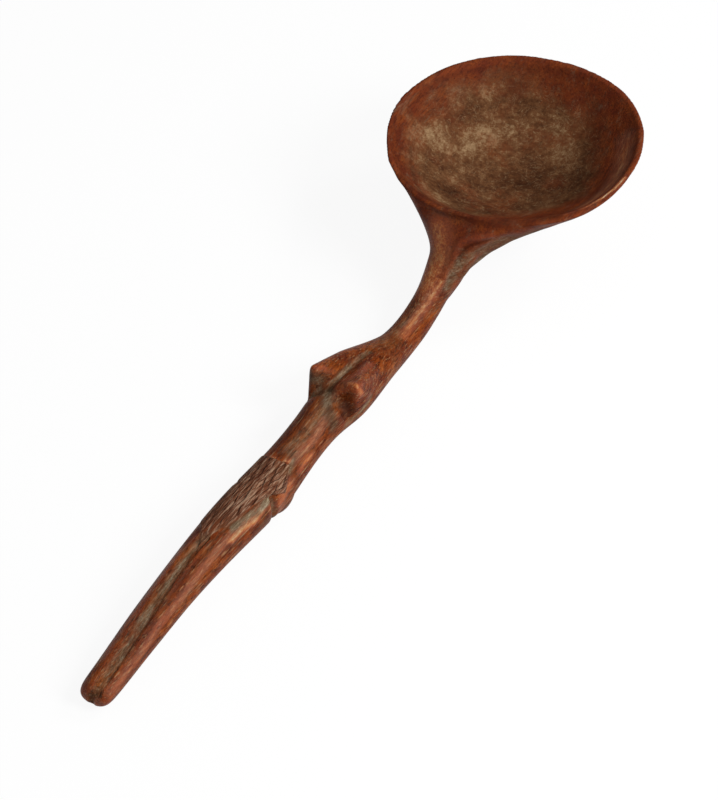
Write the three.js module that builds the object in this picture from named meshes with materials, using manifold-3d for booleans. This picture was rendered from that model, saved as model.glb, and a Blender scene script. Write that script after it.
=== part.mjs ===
// A long-handled wooden spoon carved from one length of reddish hardwood. Its handle is a figure with
// no head or arms: two legs, hips under an incised apron, a waist, a chest with two pointed breasts,
// and a neck that turns up into the bowl.
// The spoon lies on its back: +Y runs from the soles of the legs to the bowl, +Z is up from the table
// and X = 0 is the middle of its handle. Each carved member is a solid of its own, parted from its
// neighbours by a fine gap. Sizes are in millimetres, and places along Y count from the soles.

import * as THREE from "three";
import { mergeVertices } from "three/addons/utils/BufferGeometryUtils.js";
import Module from "manifold-3d";

// Fits: the gap between two members, and how deep the back is worn flat where it lies on the table
const MEMBER_GAP = 0.3;
const REST_WEAR = 0.5;

// Bowl
const BOWL_WIDTH = 120;
const BOWL_LENGTH = 124.6;
const BOWL_DEPTH = 34;
const BOWL_FLOOR = 6;
const BOWL_WIDEST_OFFSET = 2.4;
const RIM_THICKNESS = 2.6;
const RIM_HEIGHT = 55;
const RIM_TILT = 1.4;

// Two lobes where the rim stands out further towards the neck, and their angles in degrees from the far
// end of the bowl towards +X
const RIGHT_LOBE_HEIGHT = 5;
const RIGHT_LOBE_ANGLE = 130;
const LEFT_LOBE_HEIGHT = 3;
const LEFT_LOBE_ANGLE = -160;
const LOBE_HALF_ANGLE = 40;

// Legs
const LEG_LENGTH = 132;
const FOOT_WIDTH = 15.6;
const FOOT_DEPTH = 13.2;
const FOOT_ROUNDING = 8;
const LEG_GROOVE_WIDTH = 7;
const LEG_GROOVE_DEPTH = 2.2;
const KNEE_AT = 72;
const KNEE_WIDTH = 19;
const KNEE_DEPTH = 17;
const KNEE_LIFT = 6;
const THIGH_LENGTH = 14;
const THIGH_WIDTH = 22.8;
const THIGH_DEPTH = 20.5;
const THIGH_LIFT = 3.6;

// Hips and buttocks
const HIP_LENGTH = 21;
const HIP_WIDTH = 22.6;
const HIP_DEPTH = 21.5;
const HIP_LIFT = 0.6;
const BUTTOCK_WIDTH = 12.5;
const BUTTOCK_LENGTH = 20;
const BUTTOCK_DEPTH = 21;
const BUTTOCK_SPACING = 10.5;
const BUTTOCK_OFFSET = 12;

// Apron
const APRON_WIDTH = 21.5;
const APRON_THICKNESS = 1.1;
const APRON_OFFSET = 2.5;
const APRON_SIDE_LENGTH = 14;
const APRON_POINT_AT = 86;

// Waist
const WAIST_LENGTH = 36;
const WAIST_WIDTH = 19.5;
const WAIST_DEPTH = 18.5;
const WAIST_LIFT = 4.2;

// Chest, with the ribs at its lower end and the bust at its widest
const CHEST_LENGTH = 52;
const RIBS_WIDTH = 20.5;
const RIBS_DEPTH = 19.5;
const RIBS_LIFT = 5;
const RIBS_LENGTH = 18;
const BUST_WIDTH = 25;
const BUST_DEPTH = 25;
const BUST_LIFT = 3;

// Breasts
const BREAST_WIDTH = 17;
const BREAST_LENGTH = 50;
const BREAST_SPACING = 12.5;
const BREAST_PROJECTION = 6;
const BREAST_TIP_DOWN = 18.5;
const BREAST_TIP_OUT = 3;

// Neck: it lies on its nape, turns up to the throat, and spreads to a collar and keel under the bowl
const NECK_LENGTH = 65;
const NECK_WIDTH = 15;
const NECK_DEPTH = 15.5;
const SHOULDER_WIDTH = 19.5;
const SHOULDER_DEPTH = 18.5;
const SHOULDER_LIFT = 1;
const TURN_BEFORE_LIP = 22;
const TURN_LIFT = 2.2;
const THROAT_BEFORE_LIP = 7;
const THROAT_WIDTH = 16.5;
const THROAT_DEPTH = 26;
const COLLAR_BEFORE_LIP = 1;
const COLLAR_WIDTH = 35;
const COLLAR_STEP_HEIGHT = 2.2;
const KEEL_LENGTH = 16;
const KEEL_WIDTH = 76;
const KEEL_HEIGHT = 1.5;
const KEEL_SHARPNESS = 0.8;
const ROOT_OFFSET = 2.2;

// Shares: how far the underside has risen from the turn to the bowl's bottom, and how much of the depth
// lies below the widest line
const THROAT_RISE_SHARE = 0.22;
const COLLAR_RISE_SHARE = 0.5;
const THROAT_BACK_SHARE = 0.6;
const COLLAR_BACK_SHARE = 0.82;
const KEEL_BACK_SHARE = 0.86;

// Facets
const SIDES = 24;
const RING_SPACING = 4;
const BOWL_SIDES = 44;
const BOWL_RINGS = 9;
const CROWN_STEPS = 4;
const BREAST_SIDES = 20;
const BREAST_RINGS = 8;

// Places along the spoon and heights that follow from the sizes
const WAIST_AT = LEG_LENGTH + HIP_LENGTH;
const CHEST_AT = WAIST_AT + WAIST_LENGTH;
const BUST_AT = CHEST_AT + RIBS_LENGTH;
const NECK_AT = CHEST_AT + CHEST_LENGTH;
const LIP_AT = NECK_AT + NECK_LENGTH;
const TURN_AT = LIP_AT - TURN_BEFORE_LIP;
const NAPE_AT = (NECK_AT + TURN_AT) / 2;
const BOWL_AT = LIP_AT + BOWL_LENGTH / 2;
const BOWL_BOTTOM = RIM_HEIGHT - BOWL_DEPTH;
const COLLAR_TOP = RIM_HEIGHT - COLLAR_STEP_HEIGHT;
const THROAT_LIFT = THREE.MathUtils.lerp(TURN_LIFT, BOWL_BOTTOM, THROAT_RISE_SHARE);
const COLLAR_LIFT = THREE.MathUtils.lerp(TURN_LIFT, BOWL_BOTTOM, COLLAR_RISE_SHARE);
const KEEL_LIFT = BOWL_BOTTOM - KEEL_HEIGHT;

const wasm = await Module();
wasm.setup();

// A station of the handle: its full width and depth, the lift of its back above the table, the share of
// its depth below its widest line, how sharply its back narrows to a keel, and how far it lies aside.
function station(at, width, depth, lift, below = 0.5, keel = 0, aside = 0) {
  return { at, values: [width / 2, lift + depth * below, depth * (1 - below), depth * below, keel, aside] };
}

const STATIONS = [
  station(0, FOOT_WIDTH, FOOT_DEPTH, -REST_WEAR),
  station(KNEE_AT, KNEE_WIDTH, KNEE_DEPTH, KNEE_LIFT),
  station(LEG_LENGTH - THIGH_LENGTH, THIGH_WIDTH, THIGH_DEPTH, THIGH_LIFT),
  station(LEG_LENGTH + HIP_LENGTH / 2, HIP_WIDTH, HIP_DEPTH, HIP_LIFT),
  station(WAIST_AT + WAIST_LENGTH / 2, WAIST_WIDTH, WAIST_DEPTH, WAIST_LIFT),
  station(CHEST_AT, RIBS_WIDTH, RIBS_DEPTH, RIBS_LIFT),
  station(BUST_AT, BUST_WIDTH, BUST_DEPTH, BUST_LIFT),
  station(NECK_AT, SHOULDER_WIDTH, SHOULDER_DEPTH, SHOULDER_LIFT),
  station(NAPE_AT, NECK_WIDTH, NECK_DEPTH, -REST_WEAR),
  station(TURN_AT, NECK_WIDTH, NECK_DEPTH, TURN_LIFT),
  station(
    LIP_AT - THROAT_BEFORE_LIP,
    THROAT_WIDTH,
    THROAT_DEPTH,
    THROAT_LIFT,
    THROAT_BACK_SHARE,
    0,
    ROOT_OFFSET,
  ),
  station(
    LIP_AT - COLLAR_BEFORE_LIP,
    COLLAR_WIDTH,
    COLLAR_TOP - COLLAR_LIFT,
    COLLAR_LIFT,
    COLLAR_BACK_SHARE,
    KEEL_SHARPNESS,
    ROOT_OFFSET,
  ),
  station(
    LIP_AT + KEEL_LENGTH,
    KEEL_WIDTH,
    COLLAR_TOP - KEEL_LIFT,
    KEEL_LIFT,
    KEEL_BACK_SHARE,
    KEEL_SHARPNESS,
    ROOT_OFFSET,
  ),
  station(BOWL_AT, KEEL_WIDTH / 2, BOWL_DEPTH / 2, BOWL_BOTTOM + BOWL_FLOOR),
];

const handle = new THREE.CubicInterpolant(
  STATIONS.map((each) => each.at),
  new Float32Array(STATIONS.flatMap((each) => each.values)),
  STATIONS[0].values.length,
);

function sectionAt(along) {
  const [half, widest, front, back, keel, aside] = handle.evaluate(along);
  return { half, widest, front, back, keel: Math.max(0, keel), aside };
}

// A cylinder along Y, of the given length, whose every point is moved by a rule of its own. The rule gets
// the point's place around the unit circle and its share of the length.
function shapedLength(length, rule) {
  const steps = Math.max(2, Math.ceil(length / RING_SPACING));
  const geometry = new THREE.CylinderGeometry(1, 1, 1, SIDES, steps);
  const points = geometry.attributes.position;
  for (let i = 0; i < points.count; i += 1) {
    const moved = rule(points.getX(i), points.getY(i) + 0.5, points.getZ(i));
    points.setXYZ(i, moved.x, moved.y, moved.z);
  }
  return geometry;
}

// A length of the handle, grown outward by an even offset.
function handleLength(from, to, offset = 0) {
  return shapedLength(to - from, (across, share, forward) => {
    const along = THREE.MathUtils.lerp(from, to, share);
    const section = sectionAt(along);
    const depth = forward > 0 ? section.front : section.back;
    const hollowing = forward < 0 ? section.keel : 0;
    return {
      x: section.aside + across * Math.abs(across) ** hollowing * (section.half + offset),
      y: along,
      z: section.widest + forward * Math.abs(forward) ** hollowing * (depth + offset),
    };
  });
}

function solid(geometry) {
  const bare = geometry.clone();
  bare.deleteAttribute("normal");
  bare.deleteAttribute("uv");
  const merged = mergeVertices(bare);
  const vertProperties = new Float32Array(merged.attributes.position.array);
  const triVerts = new Uint32Array(merged.index.array);
  return new wasm.Manifold(new wasm.Mesh({ numProp: 3, vertProperties, triVerts }));
}

function geometryOf(body) {
  const mesh = body.getMesh();
  const geometry = new THREE.BufferGeometry();
  geometry.setAttribute("position", new THREE.BufferAttribute(mesh.vertProperties, 3));
  geometry.setIndex(new THREE.BufferAttribute(mesh.triVerts, 1));
  geometry.computeVertexNormals();
  return geometry;
}

// Blocks that keep one part of space: wide, tall and long enough to hold the whole spoon.
const BLOCK_SIZE = 2 * (BOWL_WIDTH + RIM_HEIGHT);
const BLOCK_LENGTH = 2 * (BOWL_AT + BOWL_LENGTH);

function between(from, to) {
  const block = new THREE.BoxGeometry(BLOCK_SIZE, to - from, BLOCK_SIZE);
  return solid(block.translate(0, (from + to) / 2, 0));
}

function aboveTable() {
  const block = new THREE.BoxGeometry(BLOCK_SIZE, BLOCK_LENGTH, BLOCK_SIZE);
  return solid(block.translate(0, 0, BLOCK_SIZE / 2));
}

function onSide(side) {
  const block = new THREE.BoxGeometry(BLOCK_SIZE, BLOCK_LENGTH, BLOCK_SIZE);
  return solid(block.translate((side * (BLOCK_SIZE + MEMBER_GAP)) / 2, 0, 0));
}

// Points of a round cap, from its lowest point on the axis out to its edge at height zero.
function cap(radius, depth) {
  const bend = (radius ** 2 + depth ** 2) / (2 * depth);
  const reach = 2 * Math.atan2(depth, radius);
  const points = [];
  for (let i = 0; i <= BOWL_RINGS; i += 1) {
    const angle = (reach * i) / BOWL_RINGS;
    points.push(new THREE.Vector2(bend * Math.sin(angle), bend - depth - bend * Math.cos(angle)));
  }
  return points;
}

// How far a lobe of the rim stands out at a place round the bowl.
function lobe(place, angle, height) {
  const middle = new THREE.Vector2(0, 1).rotateAround(new THREE.Vector2(), -THREE.MathUtils.degToRad(angle));
  const apart = place.angleTo(middle) / THREE.MathUtils.degToRad(LOBE_HALF_ANGLE);
  return height * THREE.MathUtils.smoothstep(1 - apart, 0, 1);
}

// A profile turned about the middle of the bowl, its height counted from the rim, then drawn out to the
// bowl's length, widened towards its far end, given its lobes and tilted with the rim.
function bowlShape(profile) {
  const geometry = new THREE.LatheGeometry(profile, BOWL_SIDES);
  geometry.rotateX(Math.PI / 2);
  const points = geometry.attributes.position;
  for (let i = 0; i < points.count; i += 1) {
    const y = points.getY(i) * (BOWL_LENGTH / BOWL_WIDTH);
    const x = points.getX(i) * (1 + (BOWL_WIDEST_OFFSET * y) / (BOWL_LENGTH / 2) ** 2);
    const place = new THREE.Vector2(x, y);
    const right = lobe(place, RIGHT_LOBE_ANGLE, RIGHT_LOBE_HEIGHT);
    const left = lobe(place, LEFT_LOBE_ANGLE, LEFT_LOBE_HEIGHT);
    const share = place.length() / (BOWL_WIDTH / 2);
    place.multiplyScalar(1 + (share * (right + left)) / (BOWL_WIDTH / 2));
    points.setX(i, place.x);
    points.setY(i, place.y);
  }
  geometry.rotateX(THREE.MathUtils.degToRad(RIM_TILT));
  return geometry.translate(0, BOWL_AT, RIM_HEIGHT);
}

// The rim is half round: its crown stands half its thickness above the edges of the two caps.
const CROWN = RIM_THICKNESS / 2;

function bowl() {
  const radius = BOWL_WIDTH / 2;
  const outside = cap(radius, BOWL_DEPTH - CROWN);
  const inside = cap(radius - RIM_THICKNESS, BOWL_DEPTH - CROWN - BOWL_FLOOR).reverse();
  const crown = new THREE.EllipseCurve(radius - CROWN, 0, CROWN, CROWN, 0, Math.PI);
  const profile = [...outside, ...crown.getPoints(CROWN_STEPS).slice(1, -1), ...inside];
  return bowlShape(profile.map((point) => new THREE.Vector2(point.x, point.y - CROWN)));
}

// The space that the bowl and its hollow take, grown by the gap and carried on above the rim.
function bowlSpace() {
  const radius = BOWL_WIDTH / 2 + MEMBER_GAP;
  const outside = cap(radius, BOWL_DEPTH - CROWN + MEMBER_GAP);
  const profile = outside.map((point) => new THREE.Vector2(point.x, point.y - CROWN));
  profile.push(new THREE.Vector2(radius, BOWL_DEPTH), new THREE.Vector2(0, BOWL_DEPTH));
  return solid(bowlShape(profile));
}

function neck() {
  const length = solid(handleLength(NECK_AT + MEMBER_GAP / 2, BOWL_AT));
  return geometryOf(length.subtract(bowlSpace()).intersect(aboveTable()));
}

function plainLength(from, to) {
  const length = handleLength(from + MEMBER_GAP / 2, to - MEMBER_GAP / 2);
  return geometryOf(solid(length).intersect(aboveTable()));
}

// A pointed breast: a rounded cone, drawn out along the chest, whose tip leans down and outward. It
// starts at the chest's widest line and is cut back to the gap around the chest.
function breast(side) {
  const flank = new THREE.CubicBezierCurve(
    new THREE.Vector2(1, 0),
    new THREE.Vector2(0.75, 0.5),
    new THREE.Vector2(0.25, 1),
    new THREE.Vector2(0, 1),
  );
  const cone = new THREE.LatheGeometry([new THREE.Vector2(), ...flank.getPoints(BREAST_RINGS)], BREAST_SIDES);
  cone.rotateX(Math.PI / 2);
  const section = sectionAt(BUST_AT);
  const height = section.front + BREAST_PROJECTION;
  cone.scale(BREAST_WIDTH / 2, BREAST_LENGTH / 2, height);
  const lean = new THREE.Matrix4();
  lean.makeShear(0, 0, 0, 0, (side * BREAST_TIP_OUT) / height, -BREAST_TIP_DOWN / height);
  cone.applyMatrix4(lean);
  cone.translate((side * BREAST_SPACING) / 2, BUST_AT + BREAST_TIP_DOWN / 2, section.widest);
  const chestSpace = solid(handleLength(WAIST_AT, TURN_AT, MEMBER_GAP));
  return geometryOf(solid(cone).intersect(onSide(side)).subtract(chestSpace));
}

// One buttock, grown outward by an even offset.
function buttock(side, offset = 0) {
  const round = new THREE.SphereGeometry(0.5, SIDES, SIDES / 2);
  const growth = 2 * offset;
  round.scale(BUTTOCK_WIDTH + growth, BUTTOCK_LENGTH + growth, BUTTOCK_DEPTH + growth);
  const height = BUTTOCK_DEPTH / 2 - REST_WEAR;
  return solid(round.translate((side * BUTTOCK_SPACING) / 2, LEG_LENGTH + BUTTOCK_OFFSET, height));
}

function hips() {
  const core = solid(handleLength(LEG_LENGTH - THIGH_LENGTH, CHEST_AT));
  const rounded = core.add(buttock(-1)).add(buttock(1));
  const stretch = between(LEG_LENGTH + MEMBER_GAP / 2, WAIST_AT - MEMBER_GAP / 2);
  return geometryOf(rounded.intersect(stretch).intersect(aboveTable()));
}

// The apron lies on the front of the hips and narrows to a point between the thighs.
function apron() {
  const top = WAIST_AT - APRON_OFFSET;
  const reach = APRON_WIDTH / 2;
  const outline = new THREE.Shape();
  outline.moveTo(-reach, top);
  outline.lineTo(-reach, top - APRON_SIDE_LENGTH);
  outline.lineTo(0, APRON_POINT_AT);
  outline.lineTo(reach, top - APRON_SIDE_LENGTH);
  outline.lineTo(reach, top);
  outline.closePath();
  const prism = new THREE.ExtrudeGeometry(outline, { depth: BLOCK_SIZE, bevelEnabled: false });
  prism.translate(0, 0, sectionAt(LEG_LENGTH).widest);
  const outer = solid(handleLength(0, CHEST_AT, MEMBER_GAP + APRON_THICKNESS));
  const inner = solid(handleLength(-RING_SPACING, CHEST_AT + RING_SPACING, MEMBER_GAP));
  const shell = outer.subtract(inner).subtract(buttock(-1, MEMBER_GAP)).subtract(buttock(1, MEMBER_GAP));
  return geometryOf(shell.intersect(solid(prism)));
}

// One leg: one half of the handle's section, flat towards the other leg, with its edges eased away along
// the groove between them and its end rounded off. The rings crowd towards the rounded end.
const RING_CROWDING = 1.5;
const END_ROUNDNESS = 0.95;

function leg(side) {
  const length = LEG_LENGTH - MEMBER_GAP / 2;
  const shape = shapedLength(length, (across, share, forward) => {
    const along = length * share ** RING_CROWDING;
    const section = sectionAt(along);
    const outward = Math.max(0, across * side) * section.half;
    const easing = Math.max(0, 1 - outward / (LEG_GROOVE_WIDTH / 2)) ** 2;
    const depth = (forward > 0 ? section.front : section.back) - LEG_GROOVE_DEPTH * easing;
    const shortfall = END_ROUNDNESS * Math.max(0, 1 - along / FOOT_ROUNDING);
    const rounding = Math.sqrt(1 - shortfall ** 2);
    const middle = section.half / 2;
    const reach = Math.max(MEMBER_GAP / 2, outward);
    return {
      x: side * (middle + (reach - middle) * rounding),
      y: along,
      z: section.widest + forward * depth * rounding,
    };
  });
  return geometryOf(solid(shape).intersect(aboveTable()));
}

const spoon = new THREE.Group();

function addMember(name, geometry, color, roughness) {
  const material = new THREE.MeshStandardMaterial({ color, roughness, metalness: 0 });
  const mesh = new THREE.Mesh(geometry, material);
  mesh.name = name;
  spoon.add(mesh);
}

addMember("bowl", bowl(), 0x5e3a28, 0.7);
addMember("neck", neck(), 0x6e3522, 0.55);
addMember("chest", plainLength(CHEST_AT, NECK_AT), 0x743a22, 0.5);
addMember("left_breast", breast(-1), 0x7d3d22, 0.5);
addMember("right_breast", breast(1), 0x7d3d22, 0.5);
addMember("waist", plainLength(WAIST_AT, CHEST_AT), 0x6b3826, 0.5);
addMember("hips", hips(), 0x7a4024, 0.5);
addMember("apron", apron(), 0x5d402e, 0.7);
addMember("left_leg", leg(-1), 0x7a4225, 0.5);
addMember("right_leg", leg(1), 0x7a4225, 0.5);

// The origin is on the table, in the middle of the spoon's length.
spoon.position.y = -(BOWL_AT + BOWL_LENGTH / 2) / 2;

export default spoon;
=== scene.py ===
import math

import bmesh
import bpy
import numpy as np
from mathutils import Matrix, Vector, noise


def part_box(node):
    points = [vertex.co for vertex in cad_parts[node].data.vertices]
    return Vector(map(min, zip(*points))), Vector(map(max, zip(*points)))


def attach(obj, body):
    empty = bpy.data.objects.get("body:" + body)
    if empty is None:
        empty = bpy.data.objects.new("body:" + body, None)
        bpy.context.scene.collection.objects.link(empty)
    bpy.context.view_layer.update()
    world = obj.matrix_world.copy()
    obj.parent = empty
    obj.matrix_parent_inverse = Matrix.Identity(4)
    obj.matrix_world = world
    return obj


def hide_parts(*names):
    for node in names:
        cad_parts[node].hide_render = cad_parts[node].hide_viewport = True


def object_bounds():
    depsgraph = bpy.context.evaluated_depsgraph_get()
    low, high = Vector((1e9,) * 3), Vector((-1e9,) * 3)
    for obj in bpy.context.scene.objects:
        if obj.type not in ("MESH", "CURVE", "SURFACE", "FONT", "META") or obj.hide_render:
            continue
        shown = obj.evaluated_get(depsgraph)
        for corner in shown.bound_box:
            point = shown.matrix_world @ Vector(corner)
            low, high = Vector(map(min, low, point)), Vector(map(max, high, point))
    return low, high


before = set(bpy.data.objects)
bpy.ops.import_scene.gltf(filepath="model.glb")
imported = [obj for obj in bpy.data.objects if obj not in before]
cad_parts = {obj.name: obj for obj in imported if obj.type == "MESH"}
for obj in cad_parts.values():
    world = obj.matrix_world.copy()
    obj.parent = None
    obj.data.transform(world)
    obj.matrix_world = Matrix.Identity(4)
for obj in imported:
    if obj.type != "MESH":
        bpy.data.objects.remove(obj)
cad_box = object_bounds()


# Legs
# The two legs of the figure are the lower end of the handle, cut from the same length of red hardwood
# as all the rest. The carver rounded them with a knife and drew them out to a blunt tip.
MM = 0.001
HANDLE_SIDES = 16
RING_GROWTH = 6 / (4 + 2 * math.cos(2 * math.pi / HANDLE_SIDES))
SOLES_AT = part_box("left_leg")[0].y


def edit(piece):
    """Opens one piece for editing, with nothing else selected."""
    bpy.ops.object.select_all(action="DESELECT")
    piece.select_set(True)
    bpy.context.view_layer.objects.active = piece
    bpy.ops.object.mode_set(mode="EDIT")


def close(*modifiers):
    """Ends the editing of the piece, with its normals outward, and applies modifiers to it."""
    bpy.ops.mesh.select_all(action="SELECT")
    bpy.ops.mesh.normals_make_consistent(inside=False)
    bpy.ops.object.mode_set(mode="OBJECT")
    piece = bpy.context.active_object
    for kind, settings in modifiers:
        modifier = piece.modifiers.new(kind, kind)
        for name, value in settings.items():
            setattr(modifier, name, value)
        bpy.ops.object.modifier_apply(modifier=modifier.name)
    return piece


def shape_ring(along, width, depth, lift, aside=0.0, below=0.5, keel=0.0):
    """Sets the selected ring of the handle: its place from the soles, its width and depth, how far its
    back lies above the table and its middle to one side, the share of the depth below its widest line and
    how much its back is hollowed to a keel. The smoothed skin lies inside a ring's points, so these stand
    further out."""
    mesh = bpy.context.edit_object.data
    ring = bmesh.from_edit_mesh(mesh)
    turn = ring.verts.layers.float["turn"]
    for point in ring.verts:
        if point.select:
            across, forward = math.cos(point[turn]), math.sin(point[turn])
            reach = below if forward < 0 else 1 - below
            hollowed = keel if forward < 0 else 0
            x = aside + across * abs(across) ** hollowed * width / 2 * RING_GROWTH
            z = lift + depth * (below + forward * abs(forward) ** hollowed * reach * RING_GROWTH)
            point.co = Vector((x * MM, SOLES_AT + along * MM, z * MM))
    bmesh.update_edit_mesh(mesh)


def draw_out(*rings):
    """Extrudes the end of the handle from ring to ring."""
    for ring in rings:
        bpy.ops.mesh.extrude_region_move()
        shape_ring(*ring)


bpy.ops.object.select_all(action="DESELECT")
bpy.ops.mesh.primitive_circle_add(vertices=HANDLE_SIDES, radius=1, fill_type="NGON")
handle = bpy.context.active_object
handle.name = "handle"
edit(handle)
rings = bmesh.from_edit_mesh(handle.data)
turn = rings.verts.layers.float.new("turn")
for point in rings.verts:
    point[turn] = math.atan2(point.co.y, point.co.x)
bmesh.update_edit_mesh(handle.data)
shape_ring(1.2, 9.0, 5.0, 3.4)
draw_out(
    (2.2, 13.2, 8.4, 2.0),
    (5.2, 15.6, 12.2, 0.7),
    (12, 16.2, 13.0, 0.9),
    (28, 16.8, 14.0, 2.7),
    (48, 17.7, 15.2, 4.8),
    (70, 18.9, 16.8, 6.1),
    (92, 20.9, 18.7, 5.4),
    (110, 22.5, 20.0, 4.2),
)

# Hips
# The hips carry on from the thighs in the same wood, a little thicker and rounded with the knife. The apron
# stands on their front and the buttocks on their back.
draw_out(
    (122, 23.0, 20.7, 3.1),
    (134, 22.9, 21.5, 1.6),
    (144, 22.6, 21.3, 0.8),
    (153, 21.4, 20.4, 1.6),
)

# Waist
# A plain narrow length between the apron and the chest, cut back all round with the knife and then worn
# smooth by the hand that holds it.
draw_out(
    (163, 19.9, 19.1, 3.0),
    (173, 19.3, 18.4, 4.4),
    (183, 19.5, 18.7, 5.0),
)

# Chest
# The chest swells out of the waist to the width of the shoulders, under the two breasts. It is the same
# wood, rounded over at its sides and back, and it has no arms.
draw_out(
    (191, 20.9, 19.4, 4.9),
    (199, 23.2, 20.2, 4.0),
    (207, 25.2, 21.2, 2.9),
    (217, 24.7, 21.2, 2.3),
    (228, 22.3, 20.4, 1.8),
)

# Neck
# The neck lies on its nape, turns up to the throat and spreads into a collar and a keel, which the bowl
# grows out of. The rings past the lip stay inside the wood of the bowl.
draw_out(
    (240, 19.6, 18.8, 0.9),
    (251, 17.2, 16.8, -0.2),
    (262, 15.0, 15.2, -0.6),
    (273, 14.7, 15.4, 0.2, 0.1, 0.48),
    (282, 14.2, 17.2, 2.0, 0.2, 0.46),
    (289, 13.8, 21.2, 3.6, 0.8, 0.52),
    (295, 14.8, 28.2, 4.8, 1.8, 0.68, 0.25),
    (299, 18.6, 33.2, 6.0, 3.2, 0.8, 0.45),
    (301.5, 23.6, 36.2, 7.0, 3.4, 0.9, 0.55),
    (304, 30.4, 39.6, 8.2, 3.2, 0.93, 0.65),
    (306.5, 41.0, 41.0, 9.6, 2.5, 0.95, 0.9),
    (310, 53.5, 41.5, 11.4, 2.7, 0.96, 1.0),
    (316, 71.0, 40.8, 14.0, 3.0, 0.97, 0.9),
    (324, 80.0, 36.0, 17.0, 3.0, 0.9, 0.8),
    (334, 66.0, 28.0, 19.5, 2.0, 0.8, 0.5),
    (346, 46.0, 20.0, 22.0, 0, 0.6, 0.2),
    (360, 30.0, 14.0, 24.0),
)
close(("SUBSURF", {"levels": 3, "render_levels": 3}))

# Buttocks
# Two round forms left standing on the back of the hips when the wood around them was cut away. The spoon
# lies on them and on its nape.
BUTTOCK = (12.2, 20, 20.5)
BUTTOCK_PLACE = (4.9, 144, 9.9)


def row(x, along, z):
    """A point in the frame, in metres, from millimetres across, from the soles and above the table."""
    return Vector((x * MM, SOLES_AT + along * MM, z * MM))


bpy.ops.object.select_all(action="DESELECT")
bpy.ops.mesh.primitive_uv_sphere_add(segments=32, ring_count=16, radius=0.5, location=row(*BUTTOCK_PLACE))
buttock = bpy.context.active_object
buttock.scale = [size * MM for size in BUTTOCK]
bpy.ops.object.transform_apply()
bpy.ops.object.duplicate_move(TRANSFORM_OT_translate={"value": (-2 * BUTTOCK_PLACE[0] * MM, 0, 0)})
forms = [buttock, bpy.context.active_object]

# Breasts
# Each is hewn with three cuts that meet at its tip: a long slope down from the shoulder to the groove
# between them, a steep face underneath and a flank that runs out into the chest, all with rounded edges.
# The two are not quite alike: the right one stands a little lower and is fuller towards the groove.
LEFT_BREAST = (
    (-11.2, 201.9, 30.8),
    (-4.8, 208.5, 25.2),
    (-4.0, 237, 18.2),
    (-9.2, 224, 23.0),
    (-6.2, 252.5, 11.0),
    (-11.7, 207.5, 19.0),
    (-9.8, 198.4, 16.5),
    (-5.0, 205.5, 20.0),
)
RIGHT_BREAST = (
    (10.6, 202.4, 28.8),
    (1.6, 200.6, 25.2),
    (1.0, 230, 19.2),
    (7.2, 218, 22.4),
    (5.8, 236, 14.0),
    (11.4, 209, 18.8),
    (10.0, 200.4, 16.0),
    (3.4, 198.4, 20.4),
)
BREAST_ROUND = 2.2
for corners in (LEFT_BREAST, RIGHT_BREAST):
    bpy.ops.object.select_all(action="DESELECT")
    bpy.ops.mesh.primitive_ico_sphere_add(subdivisions=3, radius=BREAST_ROUND * MM, location=row(*corners[0]))
    bpy.ops.object.transform_apply()
    edit(bpy.context.active_object)
    for place in corners[1:]:
        bpy.ops.mesh.primitive_ico_sphere_add(subdivisions=3, radius=BREAST_ROUND * MM, location=row(*place))
    bpy.ops.mesh.select_all(action="SELECT")
    bpy.ops.mesh.convex_hull()
    forms.append(close())

# Bowl
# A wide shallow bowl in the place of the head, hollowed with a bent knife. Its rim is thin at the far end
# and widens towards the neck, where it flows into the collar, fuller on the right than on the left.
BOWL_SIDES = 96
BOWL_RINGS = 22
RIM_RADIUS = 60.7
LIP_RADIUS = 58.6
BOWL_FLOOR = 6.0
RIM_HEIGHT = 55
RIM_TILT = 1.4
BOWL_STRETCH = 1.015
HOLLOW_ABOVE = 20
bowl_low, bowl_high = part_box("bowl")
RIM_AT = Vector((0, (bowl_low.y + bowl_high.y) / 2, RIM_HEIGHT * MM))
bowl_depth = (RIM_AT.z - bowl_low.z) / MM

# Where the rim isn't round: a heading in degrees, how far the fullness spreads to each side and how far it
# stands out
RIM_FULLNESS = (
    (30, 55, 2.4),
    (-35, 50, 1.4),
    (80, 40, 0.8),
    (128, 45, 4.6),
    (158, 25, 1.2),
    (-165, 40, 3.0),
    (-116, 35, -1.2),
)
LIP_FULLNESS = (
    (38, 45, 1.8),
    (-35, 45, 1.2),
    (120, 40, 1.4),
    (-165, 40, 1.2),
    (-112, 35, -0.8),
)


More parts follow.
